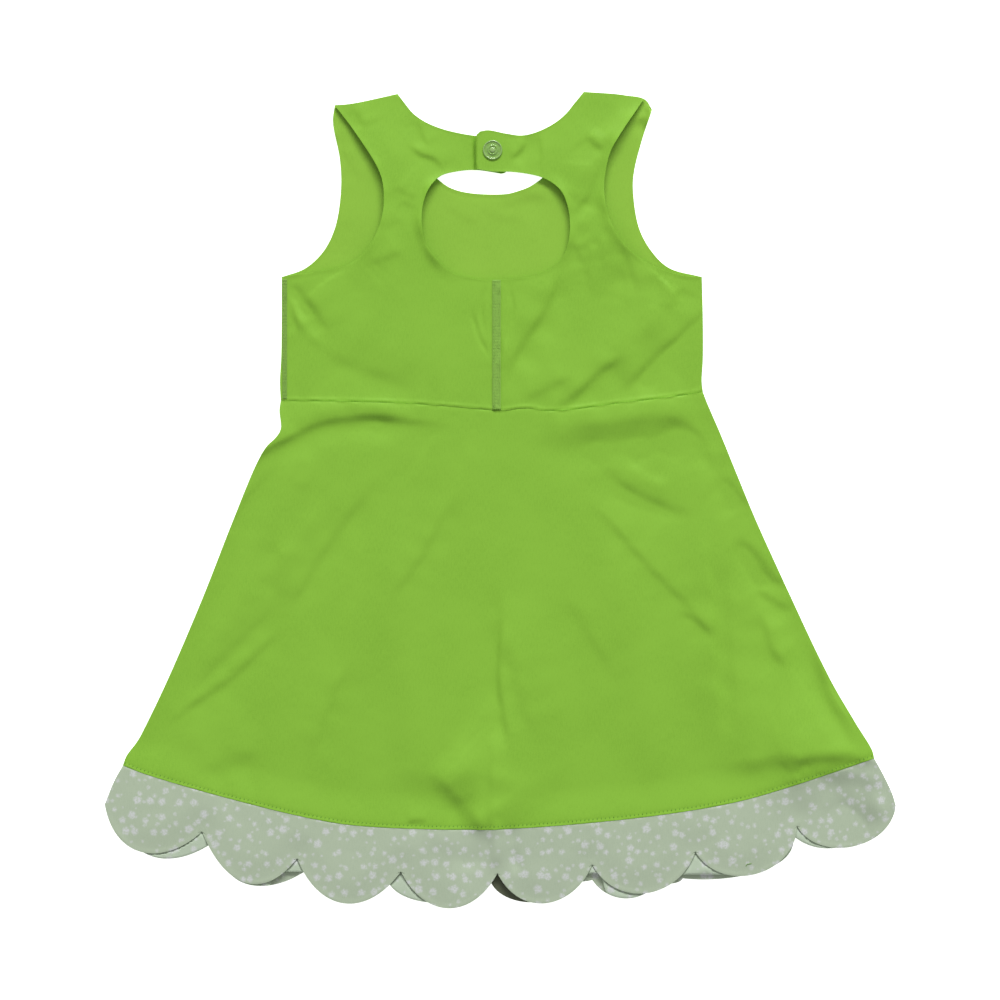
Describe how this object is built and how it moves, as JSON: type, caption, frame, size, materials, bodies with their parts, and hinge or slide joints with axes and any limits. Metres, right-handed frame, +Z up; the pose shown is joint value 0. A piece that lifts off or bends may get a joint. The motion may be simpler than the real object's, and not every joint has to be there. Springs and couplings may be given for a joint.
{
  "type": "sleeveless athletic dress, laid flat with its back up",
  "caption": "Sleeveless girl's athletic dress laid flat, back up: keyhole back closed by a snapped neck tab, waist seam, flared skirt and a scalloped hem band.",
  "frame": {"origin": "middle of the bounding box's bottom, on the surface that the dress lies on", "axes": "+Z up from the surface, +Y from the hem up to the shoulders, +X to the right as the back is seen from above"},
  "size_m": [0.5529, 0.5716, 0.008],
  "materials": {
    "front_bodice": "smooth stretch jersey, wrong side up",
    "front_skirt": "smooth stretch jersey, wrong side up",
    "front_hem_band": "printed stretch jersey, face down",
    "front_hem_facing": "printed pale stretch jersey",
    "back_bodice_left": "smooth stretch jersey",
    "back_bodice_right": "smooth stretch jersey",
    "back_skirt": "smooth stretch jersey",
    "back_hem_band": "printed stretch jersey",
    "centre_back_seam": "dense overlock thread",
    "left_side_seam": "dense overlock thread",
    "snap_cap": "translucent green",
    "snap_socket": "translucent green"
  },
  "bodies": {
    "root": {"front_bodice": "front_bodice", "front_skirt": "front_skirt", "front_hem_band": "front_hem_band", "front_hem_facing": "front_hem_facing", "back_bodice_left": "back_bodice_left", "back_bodice_right": "back_bodice_right", "back_skirt": "back_skirt", "back_hem_band": "back_hem_band", "centre_back_seam": "centre_back_seam", "left_side_seam": "left_side_seam", "snap_cap": "snap_cap", "snap_socket": "snap_socket"}
  },
  "joints": []
}
